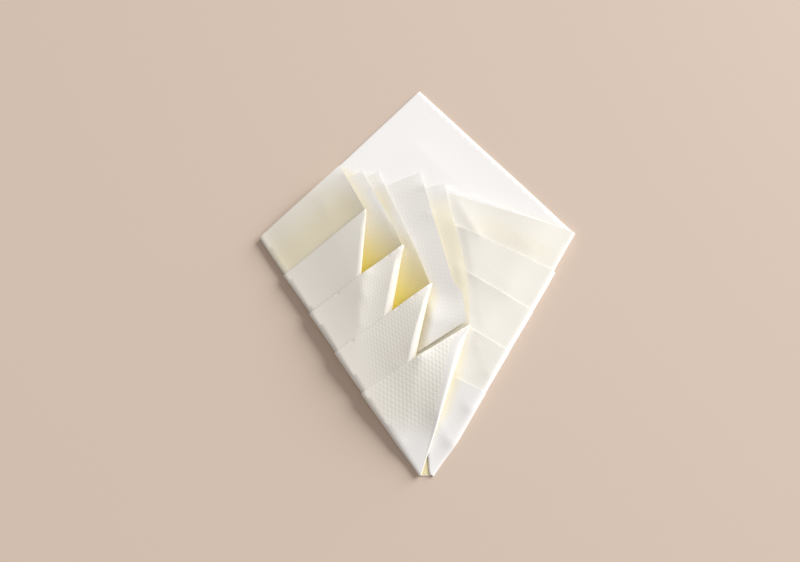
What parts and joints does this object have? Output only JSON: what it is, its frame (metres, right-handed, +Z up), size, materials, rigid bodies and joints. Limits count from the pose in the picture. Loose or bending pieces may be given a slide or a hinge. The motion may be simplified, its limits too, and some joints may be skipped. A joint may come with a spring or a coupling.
{
  "type": "folded paper napkin",
  "caption": "Soft square paper napkin folded into a flat kite: quartered, loose tips turned up in steps underneath, sides folded in over each other so the stepped leaves form open pleats.",
  "frame": {"origin": "centre of the bounding box, on the table under the napkin", "axes": "+Y from the narrow lower end to the closed corner, +Z up from the table, +X to the right seen from above with the closed corner at the top"},
  "size_m": [0.1354, 0.1723, 0.009],
  "materials": {
    "paper": "soft embossed tissue, cream white, matte"
  },
  "bodies": {
    "root": {"napkin": "paper"}
  },
  "joints": []
}
